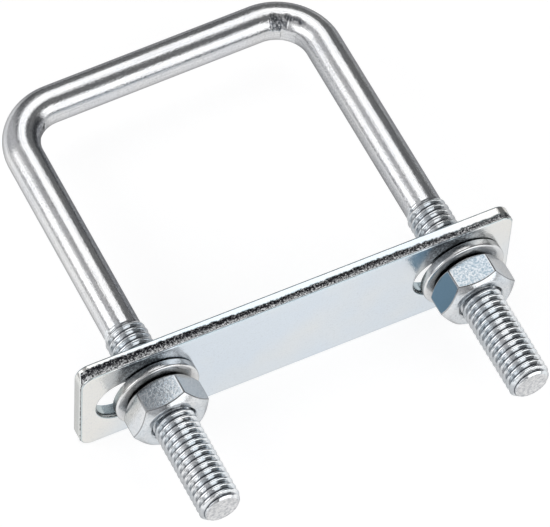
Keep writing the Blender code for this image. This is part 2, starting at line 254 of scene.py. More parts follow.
def bent_rod():
    """Plain rod from leg to leg: a round section carried up the left leg, along the crossbar and down.

    The section stands on the path's outward normal and +Z. Inside each bend the former's narrow face has
    pressed a flat: the radius stops at a plane square to the bend's middle, over a short turn. At the
    right bend the former has also scuffed the upper side, which is set in and rippled there, inside two
    ragged ovals. Film lies in the scuffs. Painted shade, standing in for dark reflections, lies on the legs'
    inner sides, on the right leg's outer side, and on the crossbar's outer side and a little on its inner
    one.
    """
    bend_x = leg_x - BEND_RADIUS
    crossbar_y = stud_end + INSIDE_LENGTH + ROD_RADIUS
    inset, rise = BEND_RADIUS * sin(CROSSBAR_SKEW), tan(CROSSBAR_SKEW)
    drop = BEND_RADIUS * cos(CROSSBAR_SKEW)
    left_y = crossbar_y - rise * (bend_x + inset) - drop
    right_y = crossbar_y + rise * (bend_x - inset) - drop

    half_turn = pi / 2 - CROSSBAR_SKEW
    left_turn = np.linspace(0, half_turn, BEND_ROWS)
    right_turn = np.linspace(half_turn, pi, BEND_ROWS)
    turn = np.concatenate([[0], left_turn, right_turn, [pi]])
    outward = np.stack([-np.cos(turn), np.sin(turn), 0 * turn], -1)
    hub = np.concatenate([
        [(-bend_x, leg_top, 0)],
        np.broadcast_to((-bend_x, left_y, 0), (BEND_ROWS, 3)),
        np.broadcast_to((bend_x, right_y, 0), (BEND_ROWS, 3)),
        [(bend_x, leg_top, 0)],
    ])
    path = hub + BEND_RADIUS * outward
    along = np.concatenate([[0], np.cumsum(np.linalg.norm(np.diff(path, axis=0), axis=1))])

    angle = np.linspace(0, 2 * pi, ROD_COLUMNS + 1)[None, :]
    outer = np.cos(angle)
    off_middle = np.abs(turn - np.where(turn < half_turn, half_turn / 2, (half_turn + pi) / 2))
    pressed = smooth_step(FORMER_FACE_HALF + FORMER_FACE_EASE, FORMER_FACE_HALF, off_middle)
    face = FORMER_FACE / np.cos(np.minimum(off_middle, FORMER_FACE_HALF))
    flat = ROD_RADIUS + (BEND_RADIUS - face - ROD_RADIUS) * pressed
    radius = np.minimum(ROD_RADIUS, flat[:, None] / np.maximum(-outer, 1e-6))

    past = turn[:, None] - half_turn
    around, onward = np.broadcast_arrays(ROD_RADIUS * angle, along[:, None])
    crumple = ripples(around, onward, SCUFF_CRUMPLE_SIZE, seed=5)
    ragged = ripples(around, onward, SCUFF_EDGE_SIZE, seed=6)
    scuff = 0 * crumple
    for scuff_turn, scuff_side, half_along, half_around in SCUFFS:
        beside = np.hypot((past - scuff_turn) / half_along, (angle - scuff_side) / half_around)
        inside = smooth_step(*SCUFF_FADE, beside + SCUFF_RAGGEDNESS * ragged) * (past > 0)
        scuff = np.maximum(scuff, inside)
    radius = radius + scuff * (SCUFF_CRUMPLE * crumple - SCUFF_SET_IN)

    # Painted shade on the legs' and crossbar's sides, standing in for dark reflections; only the film in the
    # scuffs is real.
    on_left = smooth_step(*LEFT_LEG_TURN, turn)[:, None]
    on_right = smooth_step(*RIGHT_LEG_TURN, turn)[:, None]
    on_crossbar = (1 - on_left) * (1 - on_right)
    film_and_shade = on_left * painted_facing_shade(LEFT_INNER_SHADE, -outer)
    film_and_shade = film_and_shade + on_right * painted_facing_shade(RIGHT_INNER_SHADE, -outer)
    film_and_shade = film_and_shade + on_right * painted_facing_shade(RIGHT_OUTER_SHADE, outer)
    film_and_shade = film_and_shade + on_crossbar * painted_facing_shade(CROSSBAR_OUTER_SHADE, outer)
    film_and_shade = film_and_shade + on_crossbar * painted_facing_shade(CROSSBAR_INNER_SHADE, -outer)
    film_and_shade = np.maximum(film_and_shade, scuff * np.clip(SCUFF_FILM - SCUFF_FILM_UNEVEN * crumple, 0, 1))
    place = path[:, None] + radius[..., None] * (outer[..., None] * outward[:, None]
                                                 + np.sin(angle)[..., None] * np.array([0, 0, 1]))
    return [(place, np.stack([around, onward], -1), ROD_FINISH, -film_and_shade)]


def add_node(tree, kind, inputs=(), **settings):
    """Add a shader node; an input is set to a value or linked to another node's output."""
    made = tree.nodes.new(kind)
    for name, value in settings.items():
        setattr(made, name, value)
    for name, value in dict(inputs).items():
        if isinstance(value, bpy.types.NodeSocket):
            tree.links.new(value, made.inputs[name])
        else:
            made.inputs[name].default_value = value
    return made


def new_finish(name, edge_tint):
    """A metal finish, duller where it is seen edge on: its material, node tree and Object coordinates."""
    material = bpy.data.materials.new(name)
    material.use_nodes = True
    tree = material.node_tree
    shader = tree.nodes["Principled BSDF"]
    shader.inputs["Metallic"].default_value = 1.0
    shader.inputs["Specular Tint"].default_value = (edge_tint, edge_tint, edge_tint, 1)
    return material, tree, add_node(tree, "ShaderNodeTexCoord").outputs["Object"]


def noise(tree, vector, scale, detail=2.0, roughness=0.6):
    """The grey value of a noise whose grain is 1 / scale, in its vector's own units."""
    return add_node(tree, "ShaderNodeTexNoise", {
        "Vector": vector, "Scale": scale, "Detail": detail, "Roughness": roughness}).outputs["Fac"]


def between(tree, value, low, high, to_low, to_high):
    """Map a value's range onto another one, clamped."""
    return add_node(tree, "ShaderNodeMapRange", {
        "Value": value, "From Min": low, "From Max": high,
        "To Min": to_low, "To Max": to_high}).outputs["Result"]


def reckoned(tree, operation, first, second=0.0, clamp=False):
    """One step of arithmetic on values or outputs."""
    return add_node(tree, "ShaderNodeMath", {0: first, 1: second},
                    operation=operation, use_clamp=clamp).outputs[0]


def mixed(tree, share, first, second):
    """Mix two colours, each a value or an output; a Mix node's colour sockets go by number."""
    return add_node(tree, "ShaderNodeMix", {0: share, 6: first, 7: second}, data_type="RGBA").outputs[2]


def drifting(tree, place, first, second, scale, spread):
    """Drift from one colour to another in soft clouds, within a spread about the clouds' middle grey."""
    cloud = noise(tree, place, scale, detail=3.0, roughness=0.5)
    return mixed(tree, between(tree, cloud, 0.5 - spread, 0.5 + spread, 0, 1), first, second)


def pitted(tree, colour, pits, grain, low, high, share):
    """Shift a colour towards its pits by a share where the grain is below low, and not at all above high."""
    return mixed(tree, between(tree, grain, low, high, share, 0), colour, pits)


NOISE_DARK, NOISE_PALE = 0.3, 0.7
PATCH_DARK, PATCH_PALE = 0.35, 0.65
MOST_RUBBED_AND_SHADED = 0.8


def worn_and_shaded(tree, colour, film_and_shade, second_mark=None, patches=None, spread=(1, 1)):
    """Shift a colour by the piece's wear and painted shade: to the film and painted shade below 0, and above
    0 to the second mark, which is rubbed metal on the washers and painted shade on the nuts and the plate.

    Where patches is given, the film and painted shade is as strong as spread says, from its dark places to
    its pale ones.
    """
    wear_and_shade = add_node(tree, "ShaderNodeAttribute", attribute_name="wear_and_shade").outputs["Fac"]
    share = between(tree, wear_and_shade, 0, -1, 0, 1)
    if patches is not None:
        uneven = between(tree, patches, PATCH_DARK, PATCH_PALE, *spread)
        share = reckoned(tree, "MULTIPLY", share, uneven, clamp=True)
    colour = mixed(tree, share, colour, film_and_shade)
    if second_mark is None:
        return colour
    return mixed(tree, between(tree, wear_and_shade, 0, 1, 0, MOST_RUBBED_AND_SHADED), colour, second_mark)


def bumped(tree, height, depth, under=None):
    """Tilt the surface by a height of some depth, on top of an earlier tilt."""
    inputs = {"Height": height, "Distance": depth, "Strength": 1.0}
    if under is not None:
        inputs["Normal"] = under
    return add_node(tree, "ShaderNodeBump", inputs).outputs["Normal"]


def plated(tree, colour, grain, roughness, depth, under=None):
    """Give a finish its colour, a roughness that runs between two values with the grain, and its relief."""
    shader = tree.nodes["Principled BSDF"]
    tree.links.new(colour, shader.inputs["Base Color"])
    rough = between(tree, grain, NOISE_DARK, NOISE_PALE, *roughness)
    tree.links.new(rough, shader.inputs["Roughness"])
    tree.links.new(bumped(tree, grain, depth, under), shader.inputs["Normal"])


ROD_BLUISH = (0.80, 0.81, 0.83, 1)
ROD_PALE = (0.84, 0.84, 0.84, 1)
ROD_PITS = (0.45, 0.46, 0.47, 1)
ROD_LINES = (0.48, 0.48, 0.50, 1)
ROD_FILM_AND_SHADE = (0.14, 0.15, 0.17, 1)
DRAW_LINE_SCALE = (2600, 90, 1)
DRAW_LINE_DEPTH = 0.000016
ROD_GRAIN_DEPTH = 0.000028


def zinc_on_rod():
    """Bright zinc on a drawn rod: fine grain, faint lengthwise draw lines and a drift from bluish to grey.

    Fine specks break up its dull film in the scuffs and its painted shade on the sides.
    """
    material, tree, place = new_finish("rod_zinc", edge_tint=0.40)
    surface = add_node(tree, "ShaderNodeTexCoord").outputs["UV"]
    stretched = add_node(tree, "ShaderNodeMapping", {"Vector": surface, "Scale": DRAW_LINE_SCALE})
    lines = noise(tree, stretched.outputs["Vector"], scale=1.0, detail=2.0, roughness=0.5)
    grain = noise(tree, place, scale=2800)
    specks = noise(tree, place, scale=4200, detail=1.0, roughness=0.5)
    colour = drifting(tree, place, ROD_BLUISH, ROD_PALE, scale=130, spread=0.12)
    colour = pitted(tree, colour, ROD_PITS, grain, low=0.32, high=0.5, share=0.35)
    colour = pitted(tree, colour, ROD_LINES, lines, low=0.34, high=0.52, share=0.3)
    # The dark colour is the scuffs' real film and the painted shade on the rod's sides.
    colour = worn_and_shaded(tree, colour, ROD_FILM_AND_SHADE, patches=specks, spread=(0.75, 1.25))
    drawn = bumped(tree, lines, DRAW_LINE_DEPTH)
    plated(tree, colour, grain, roughness=(0.15, 0.25), depth=ROD_GRAIN_DEPTH, under=drawn)
    return material


THREAD_BLUISH = (0.80, 0.84, 0.87, 1)
THREAD_PALE = (0.88, 0.89, 0.90, 1)
THREAD_PITS = (0.34, 0.38, 0.42, 1)
THREAD_SHADE = (0.06, 0.07, 0.09, 1)
THREAD_GRAIN_DEPTH = 0.000022


def zinc_on_thread():
    """Zinc on a rolled thread: bluer and glossier than the rod, speckled, with painted shade in the groove
    and on its sides.
    """
    material, tree, place = new_finish("thread_zinc", edge_tint=0.55)
    grain = noise(tree, place, scale=2600)
    colour = drifting(tree, place, THREAD_BLUISH, THREAD_PALE, scale=260, spread=0.14)
    colour = pitted(tree, colour, THREAD_PITS, grain, low=0.3, high=0.5, share=0.4)
    # The dark colour here is painted shade in the groove and on the thread's sides.
    colour = worn_and_shaded(tree, colour, THREAD_SHADE)
    plated(tree, colour, grain, roughness=(0.07, 0.17), depth=THREAD_GRAIN_DEPTH)
    return material


STUD_END_GREY = (0.52, 0.53, 0.55, 1)
STUD_END_PALE = (0.84, 0.84, 0.84, 1)
STUD_END_TEARING = 0.00006


def zinc_on_cut_end():
    """Zinc over a sheared stud end: matt, pale, with coarse tearing across it."""
    material, tree, place = new_finish("stud_end_zinc", edge_tint=0.50)
    torn = noise(tree, place, scale=1700, detail=4.0, roughness=0.7)
    colour = mixed(tree, between(tree, torn, 0.35, 0.6, 0, 1), STUD_END_GREY, STUD_END_PALE)
    plated(tree, colour, torn, roughness=(0.55, 0.38), depth=STUD_END_TEARING)
    return material


rod = add_piece(
    "bent_rod",
    bent_rod() + threaded_leg(-leg_x, LEFT_THREAD_LENGTH) + threaded_leg(leg_x, RIGHT_THREAD_LENGTH),
    [zinc_on_rod(), zinc_on_thread(), zinc_on_cut_end()])
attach(rod, "u_bolt")
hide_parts("u_bolt")


# Clamp plate: flat strip sheared to length, with two slots punched for the legs. The shears leave a smooth
# half at the back of each edge and a torn, dark half in front. It is zinc plated and lies loose on the legs.
PLATE_CORNER_RADIUS = 0.0025
SLOT_LENGTH = 0.0160
SLOT_WIDTH = 0.0100
SLOT_END_LAND = 0.0031
LIP_ROUND = 0.00028
BACK_ROUND = 0.00040
FACE_BORDER = 0.0008

# The torn stretch: its share of the thickness at mid-length, how much that changes to either end, the
# least that any edge has, and how it wanders, is set in and is rippled.
TEAR_SHARE = 0.53
TEAR_SLOPE = 0.17
TEAR_LEAST = 0.12
TEAR_AT_CORNERS = (0.35, 0.8)
TEAR_WANDER = 0.05
TEAR_WANDER_FROM = 0.2
SLOW_WANDER, QUICK_WANDER = 1.1, 0.05
QUICK_WANDER_SHARE = 0.5
TEAR_DEPTH = 0.00010
TEAR_ROUGHNESS = 0.00005
TEAR_RIPPLE = 0.0006
TEAR_EASE = 0.2
TEAR_DARK = (0.3, 0.6)

# Darkening: a film on the end faces, painted shade on the slots' walls, a darker line along the front lip,
# and the painted dark reflection and shade above each washer, with its reach to either side, its shift from
# the leg and the height over which it sets in.
END_FILM = 0.15
SLOT_WALL_SHADE = 0.6
LIP_DARK_LINE = 0.6
WASHER_SHADE_REACH = (0.0072, 0.0026)
WASHER_SHADE_SHIFT = -0.0022
WASHER_SHADE_LEVEL = (0.0025, 0.0060)

OUTLINE_POINTS = 1200
SEAM_POINTS = 60
FACE_ROWS = 9
LIP_ROWS = 6
TEAR_ROWS = 12
WALL_ROWS = 3
BACK_ROWS = 7
PLATE_FINISH, TORN_FINISH = 0, 1

plate_low, plate_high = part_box("clamp_plate")
plate_x = (plate_low.x + plate_high.x) / 2
plate_length = plate_high.x - plate_low.x
plate_width = plate_high.z - plate_low.z
slot_x = plate_length / 2 - SLOT_END_LAND - SLOT_LENGTH / 2


def plate_outline():
    """Walk round the plate from the middle of its top edge, clockwise seen from the nuts.

    A rounded rectangle is a smaller rectangle grown by the corner radius: along a straight the place on
    that rectangle moves, and round a corner only the outward direction turns, both evenly with length.
    """
    half_x, half_z = plate_length / 2 - PLATE_CORNER_RADIUS, plate_width / 2 - PLATE_CORNER_RADIUS
    corner = pi / 2 * PLATE_CORNER_RADIUS
    lengths = [half_x, corner, 2 * half_z, corner, 2 * half_x, corner, 2 * half_z, corner, half_x]
    knots = np.concatenate([[0], np.cumsum(lengths)])
    core_x = half_x * np.array([0, 1, 1, 1, 1, -1, -1, -1, -1, 0])
    core_z = half_z * np.array([1, 1, 1, -1, -1, -1, -1, 1, 1, 1])
    headings = pi / 2 * np.array([1, 1, 0, 0, -1, -1, -2, -2, -3, -3])
    along = np.linspace(0, knots[-1], OUTLINE_POINTS + 1)
    heading = np.interp(along, knots, headings)
    outward = np.stack([np.cos(heading), np.sin(heading)], -1)
    core = np.stack([np.interp(along, knots, core_x), np.interp(along, knots, core_z)], -1)
    return core + PLATE_CORNER_RADIUS * outward, outward, along


def slot_outline(ray):
    """Where a ray from the slot's middle meets its edge, and the direction into the slot there.

    A slot is a straight core line grown by half its width: the ray meets a straight side if that lies
    beside the core, and otherwise the round end.
    """
    half_core, half_width = (SLOT_LENGTH - SLOT_WIDTH) / 2, SLOT_WIDTH / 2
    across, upward = np.cos(ray), np.sin(ray)
    to_side = half_width / np.maximum(np.abs(upward), 1e-9)
    to_end = half_core * np.abs(across) + np.sqrt(np.maximum(half_width ** 2 - (half_core * upward) ** 2, 0))
    reach = np.where(to_side * np.abs(across) <= half_core, to_side, to_end)
    edge = np.stack([reach * across, reach * upward], -1)
    core = np.stack([np.clip(edge[:, 0], -half_core, half_core), 0 * ray], -1)
    return edge, (core - edge) / half_width


def painted_washer_shade(place):
    """Share of painted dark reflection and shade on the front face: full above each washer, a little left of
    its leg, and fading.

    It fades with the distance sideways, and downwards behind the washer.
    """
    off_right = np.abs(place[..., 0] - leg_x - WASHER_SHADE_SHIFT)
    off_left = np.abs(place[..., 0] + leg_x - WASHER_SHADE_SHIFT)
    beside = smooth_step(*WASHER_SHADE_REACH, np.minimum(off_right, off_left))
    return beside * smooth_step(*WASHER_SHADE_LEVEL, place[..., 2])


def cut_edge(edge, outward, along, tear, film_and_shade, seed):
    """Sheared edge of the plate carried along an outline, from the front face round to the back one.

    Going back from the front: a border of the face, a small round, a torn stretch that is set in and
    rippled and ends at a wandering line, the smooth sheared stretch, the rolled-in round at the back and
    a border of that face. tear is the torn share of the thickness, and the fifth argument says how dark the
    smooth stretch is: a film on the plate's ends, painted shade on a slot's walls. Both rounds are darker
    along their middles, and the front one also has the painted dark reflection and shade above the washers.
    The torn stretch is darkest where it ends, and paler where it is thin. Returns the front lip, the torn
    part and the smooth part as surfaces.
    """
    front, back = plate_low.y, plate_high.y
    loop = 2 * pi * along / along[-1]
    wander = ripples(np.cos(loop), np.sin(loop), SLOW_WANDER, seed)
    wander = wander + QUICK_WANDER_SHARE * ripples(np.cos(loop), np.sin(loop), QUICK_WANDER, seed + 1)
    wandering = tear + TEAR_WANDER * wander * (tear > TEAR_WANDER_FROM)
    tear_end = front + (back - front) * np.maximum(wandering, TEAR_LEAST)
    tear_start = front + LIP_ROUND

    arc = np.linspace(0, pi / 2, LIP_ROWS)[:, None]
    lip_out = -TEAR_DEPTH - LIP_ROUND * (1 - np.sin(arc)) + 0 * along
    lip_y = front + LIP_ROUND * (1 - np.cos(arc)) + 0 * along
    border = -TEAR_DEPTH - LIP_ROUND - FACE_BORDER + 0 * along[None, :]
    lip_out = np.concatenate([border, lip_out])
    lip_y = np.concatenate([0 * border + front, lip_y])
    lip_darkening = np.concatenate([0 * border, -LIP_DARK_LINE * np.sin(2 * arc) + 0 * along])

    share = np.linspace(0, 1, TEAR_ROWS + 1)[:, None]
    torn_y = tear_start + (tear_end - tear_start) * share
    ring = along[-1] / (2 * pi)
    rough = ripples(ring * np.cos(loop) + 0 * torn_y, ring * np.sin(loop) + torn_y, TEAR_RIPPLE, seed + 2)
    inside = np.minimum(1, np.minimum(share, 1 - share) / TEAR_EASE)
    torn_out = -TEAR_DEPTH * np.minimum(1, (1 - share) / TEAR_EASE) + TEAR_ROUGHNESS * inside * (rough - 1)
    torn_wear = -smooth_step(*TEAR_DARK, share) * np.minimum(1, tear / TEAR_SHARE)

    step = np.linspace(0, 1, WALL_ROWS + 1)[:-1, None]
    wall_y = tear_end + (back - BACK_ROUND - tear_end) * step
    back_arc = np.linspace(0, pi / 2, BACK_ROWS)[:, None]
    back_out = -BACK_ROUND * (1 - np.cos(back_arc)) + 0 * along
    back_y = back - BACK_ROUND * (1 - np.sin(back_arc)) + 0 * along
    back_border = -BACK_ROUND - FACE_BORDER + 0 * along[None, :]
    smooth_out = np.concatenate([0 * wall_y, back_out, back_border])
    smooth_y = np.concatenate([wall_y, back_y, 0 * back_border + back])
    back_round_darkening = -film_and_shade - (1 - film_and_shade) * np.sin(2 * back_arc)
    smooth_darkening = np.concatenate([0 * wall_y - film_and_shade, back_round_darkening, 0 * back_border])

    def carried(out, y):
        flat = edge + out[..., None] * outward
        place = np.stack([plate_x + flat[..., 0], y, flat[..., 1]], -1)
        return place, np.stack(np.broadcast_arrays(along, y), -1)

    lip, lip_uv = carried(lip_out, lip_y)
    # Painted dark reflection and shade above each washer, on the front round too.
    lip_darkening = lip_darkening + (1 - lip_darkening) * painted_washer_shade(lip)
    return ((lip, lip_uv, PLATE_FINISH, lip_darkening),
            (*carried(torn_out, torn_y), TORN_FINISH, torn_wear),
            (*carried(smooth_out, smooth_y), PLATE_FINISH, smooth_darkening))


def plate_surfaces():
    """The plate's rim, the walls of its slots, and the flat faces between them.

    The long edges are torn, more to the left, and the tear dies out round the corners; the ends and the
    slots' walls are hardly torn. Each half of a face is a ring: every point goes straight from the slot's
    border out to the point of the half's outline that lies on the same ray from the slot's middle. The
    front face has painted dark reflection and shade above each washer.
    """
    edge, outward, along = plate_outline()
    sheared = smooth_step(*TEAR_AT_CORNERS, np.abs(outward[:, 1]))
    tear = TEAR_SHARE - TEAR_SLOPE * edge[:, 0] / (plate_length / 2)
    tear = TEAR_LEAST + (tear - TEAR_LEAST) * sheared
    rim = cut_edge(edge, outward, along, tear, END_FILM * (1 - sheared), seed=11)
    surfaces = [*rim]
    half = OUTLINE_POINTS // 2
    seam = np.linspace(0, 1, SEAM_POINTS + 1)[1:, None]
    share = np.linspace(0, 1, FACE_ROWS)[:, None, None]

    def closed(border):
        return np.concatenate([border, border[-1] + (border[0] - border[-1]) * seam])

    for side, part, seed in ((1, slice(0, half + 1), 21), (-1, slice(half, None), 31)):
        front_rim, back_rim = closed(rim[0][0][0, part]), closed(rim[2][0][-1, part])
        ray = np.arctan2(front_rim[:, 2], front_rim[:, 0] - plate_x - side * slot_x)
        slot_edge, into_slot = slot_outline(ray)
        walk = np.concatenate([[0], np.cumsum(np.linalg.norm(np.diff(slot_edge, axis=0), axis=1))])
        # Painted shade on the slots' walls.
        wall = cut_edge(slot_edge + (side * slot_x, 0), into_slot, walk, 0 * walk, SLOT_WALL_SHADE + 0 * walk, seed)
        surfaces += wall
        front_face = wall[0][0][0] + (front_rim - wall[0][0][0]) * share
        back_face = wall[2][0][-1] + (back_rim - wall[2][0][-1]) * share
        # Painted dark reflection and shade above each washer on the front face.
        surfaces.append((front_face, front_face[..., [0, 2]], PLATE_FINISH, painted_washer_shade(front_face)))
        surfaces.append((back_face, back_face[..., [0, 2]], PLATE_FINISH, 0))
    return surfaces


PLATE_BLUISH = (0.73, 0.79, 0.85, 1)
PLATE_CREAM = (0.83, 0.82, 0.79, 1)
PLATE_PITS = (0.50, 0.54, 0.58, 1)
PLATE_FILM_AND_SHADE = (0.36, 0.48, 0.52, 1)
WASHER_SHADE_DARK = (0.01, 0.02, 0.035, 1)
WASHER_SHADE_GREY = (0.30, 0.36, 0.39, 1)
CREAM_START, CREAM_FULL = 0.028, 0.040
PLATE_GRAIN_DEPTH = 0.000022


def zinc_on_plate():
    """Zinc on rolled strip: satin and finely grained, bluish in the middle and cream towards the ends.

    Its painted dark reflection and shade above the washers is a second mark, black in the grain's hollows and
    grey on its tops.
    """
    material, tree, place = new_finish("plate_zinc", edge_tint=0.62)
    across = add_node(tree, "ShaderNodeSeparateXYZ", {0: place}).outputs["X"]
    off_middle = reckoned(tree, "ABSOLUTE", reckoned(tree, "SUBTRACT", across, plate_x))
    cloud = noise(tree, place, scale=60, detail=2.0, roughness=0.5)
    cream = reckoned(tree, "ADD", between(tree, off_middle, CREAM_START, CREAM_FULL, 0, 0.8),
                     between(tree, cloud, NOISE_DARK, NOISE_PALE, -0.3, 0.5), clamp=True)
    grain = noise(tree, place, scale=2300)
    colour = mixed(tree, cream, PLATE_BLUISH, PLATE_CREAM)
    colour = pitted(tree, colour, PLATE_PITS, grain, low=0.3, high=0.46, share=0.2)
    # Colour of the painted dark reflection and shade above the washers.
    washer_shade_colour = mixed(tree, between(tree, grain, 0.46, 0.66, 0, 1), WASHER_SHADE_DARK, WASHER_SHADE_GREY)
    colour = worn_and_shaded(tree, colour, PLATE_FILM_AND_SHADE, washer_shade_colour)
    plated(tree, colour, grain, roughness=(0.14, 0.24), depth=PLATE_GRAIN_DEPTH)
    return material


TORN_BLACK = (0.03, 0.03, 0.035, 1)
TORN_PALE = (0.86, 0.87, 0.88, 1)
TEAR_END_BLACK = (0.02, 0.02, 0.025, 1)
TEAR_END_GLINTS = (0.75, 0.76, 0.77, 1)
TORN_LIP = (0.84, 0.85, 0.86, 1)
TORN_GRAIN_DEPTH = 0.00008


def zinc_on_torn_edge():
    """Thin zinc over torn steel: rough and sparkling, nearly black where the tear runs out."""
    material, tree, place = new_finish("torn_edge_zinc", edge_tint=0.50)
    torn = noise(tree, place, scale=2800, detail=3.0, roughness=0.75)
    colour = mixed(tree, between(tree, torn, 0.44, 0.56, 0, 1), TORN_BLACK, TORN_PALE)
    glints = mixed(tree, between(tree, torn, 0.54, 0.64, 0, 1), TEAR_END_BLACK, TEAR_END_GLINTS)
    colour = worn_and_shaded(tree, colour, glints, TORN_LIP)
    plated(tree, colour, torn, roughness=(0.5, 0.28), depth=TORN_GRAIN_DEPTH)
    return material


plate = add_piece("slotted_plate", plate_surfaces(), [zinc_on_plate(), zinc_on_torn_edge()])
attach(plate, "clamp_plate")
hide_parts("clamp_plate")


# Washers: flat rings stamped from strip, rounded by the press on the nut's side, zinc plated. They lie
# loose between the plate and the nuts, bridging the slots.
WASHER_HOLE_RADIUS = 0.0042
WASHER_RIM_ROUND = 0.00040
WASHER_BACK_ROUND = 0.00012
WASHER_COLUMNS = 120
WASHER_ROUND_STEPS = 7
MOST_OF_STRAIGHT = 0.45
CORNER_RUB = 0.6
NUT_SHADE_START, NUT_SHADE_FULL = 0.86, 0.62


def softened(profile, rounds, steps):
    """Round each corner of a closed outline, given as corners of (radius, y), along a short parabola.

    The parabola leaves the straight before the corner and joins the straight after it, both at the
    corner's own distance, but no further than just short of the straight's middle.
    """
    before = np.roll(profile, 1, axis=0) - profile
    after = np.roll(profile, -1, axis=0) - profile
    size = np.asarray(rounds).reshape(-1, *([1] * (profile.ndim - 1)))

    def cut(side):
        length = np.maximum(np.linalg.norm(side, axis=-1, keepdims=True), 1e-9)
        return profile + side * np.minimum(size / length, MOST_OF_STRAIGHT)

    t = np.linspace(0, 1, steps).reshape(1, -1, *([1] * (profile.ndim - 1)))
    start, corner, end = (part[:, None] for part in (cut(before), profile, cut(after)))
    curve = (1 - t) ** 2 * start + 2 * t * (1 - t) * corner + t ** 2 * end
    return curve.reshape(-1, *profile.shape[1:])


def turned(x, radius, y, angle):
    """Carry an outline of (radius, y) round the leg at x; the angle runs from +Z towards +X."""
    place = np.stack(np.broadcast_arrays(x + radius * np.sin(angle), y, radius * np.cos(angle)), -1)
    return place, place[..., [0, 2]]


def washer_surface(node):
    """A rounded outline turned about the leg, rubbed on its corners and darkened by painted shade towards its
    hole, round the nut.
    """
    low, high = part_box(node)
    x, rim = (low.x + high.x) / 2, (high.z - low.z) / 2
    hole = WASHER_HOLE_RADIUS
    corners = np.array([(hole, high.y), (hole, low.y), (rim, low.y), (rim, high.y)])
    rounds = [WASHER_BACK_ROUND, WASHER_BACK_ROUND, WASHER_RIM_ROUND, WASHER_BACK_ROUND]
    profile = softened(corners, rounds, WASHER_ROUND_STEPS)
    profile = np.concatenate([profile, profile[:1]])
    around = np.linspace(0, 2 * pi, WASHER_COLUMNS + 1)[None, :]
    at_round = np.sin(np.linspace(0, pi, WASHER_ROUND_STEPS))
    second_mark = np.append(np.tile(at_round, len(corners)), 0)[:, None]
    # Painted shade towards the hole, where the nut stands on the washer.
    nut_shade = smooth_step(NUT_SHADE_START * rim, NUT_SHADE_FULL * rim, profile[:, :1])
    return *turned(x, profile[:, :1], profile[:, 1:], around), 0, CORNER_RUB * second_mark - nut_shade


WASHER_COOL = (0.74, 0.75, 0.76, 1)
WASHER_WARM = (0.80, 0.79, 0.77, 1)
WASHER_PITS = (0.36, 0.37, 0.38, 1)
WASHER_NUT_SHADE = (0.10, 0.10, 0.10, 1)
WASHER_RUBBED = (0.84, 0.85, 0.86, 1)
WASHER_GRAIN_DEPTH = 0.000022


def zinc_on_washer():
    """Zinc on a stamped ring: satin, a little greyer and warmer than the plate."""
    material, tree, place = new_finish("washer_zinc", edge_tint=0.40)
    grain = noise(tree, place, scale=2300)
    colour = drifting(tree, place, WASHER_COOL, WASHER_WARM, scale=150, spread=0.12)
    colour = pitted(tree, colour, WASHER_PITS, grain, low=0.3, high=0.46, share=0.3)
    # The dark colour is painted shade round the nut.
    colour = worn_and_shaded(tree, colour, WASHER_NUT_SHADE, WASHER_RUBBED)
    plated(tree, colour, grain, roughness=(0.15, 0.25), depth=WASHER_GRAIN_DEPTH)
    return material


washer_finish = zinc_on_washer()
for side in ("left", "right"):
    node = side + "_washer"
    washer = add_piece(side + "_stamped_washer", [washer_surface(node)], [washer_finish])
    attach(washer, node)
    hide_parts(node)


# Nuts: hexagon nuts, cold formed and tapped, chamfered and countersunk on both faces, zinc plated. They
# stand on the washers, and a good length of stud sticks out past them.
NUT_ACROSS_FLATS = 0.0130
NUT_FACE_RADIUS = 0.0058
NUT_CHAMFER_ANGLE = radians(36)
NUT_EDGE_ROUND = 0.00018
UNROUNDED = 1e-6
NUT_CROWN = 0.00007
NUT_BARREL = 0.00004
NUT_SINK_RADIUS = 0.00445
THREAD_PLAY = 0.0002
NUT_TURNS = {"left": radians(12), "right": radians(7)}

# Blue film on each nut's flats, its amount set flat by flat as painted dark reflection, from the upper right
# one over the top one and on round, and film on its faces.
FLAT_FILM_AND_SHADE = {
    "left": (0.05, 0.16, 0.0, 0.10, 0.08, 0.03),
    "right": (0.0, 0.25, 1.0, 0.15, 0.08, 0.03),
}
FACE_FILM = 0.06
SHADED_CORNER = (0.91, 0.98)

NUT_CORNER_SHARPNESS = 90
CORNER_CROWDING = 0.86
FLAT_COLUMNS = 28
BARREL_ROWS = 6
NUT_ROUND_STEPS = 5
BORE_ROWS = 72


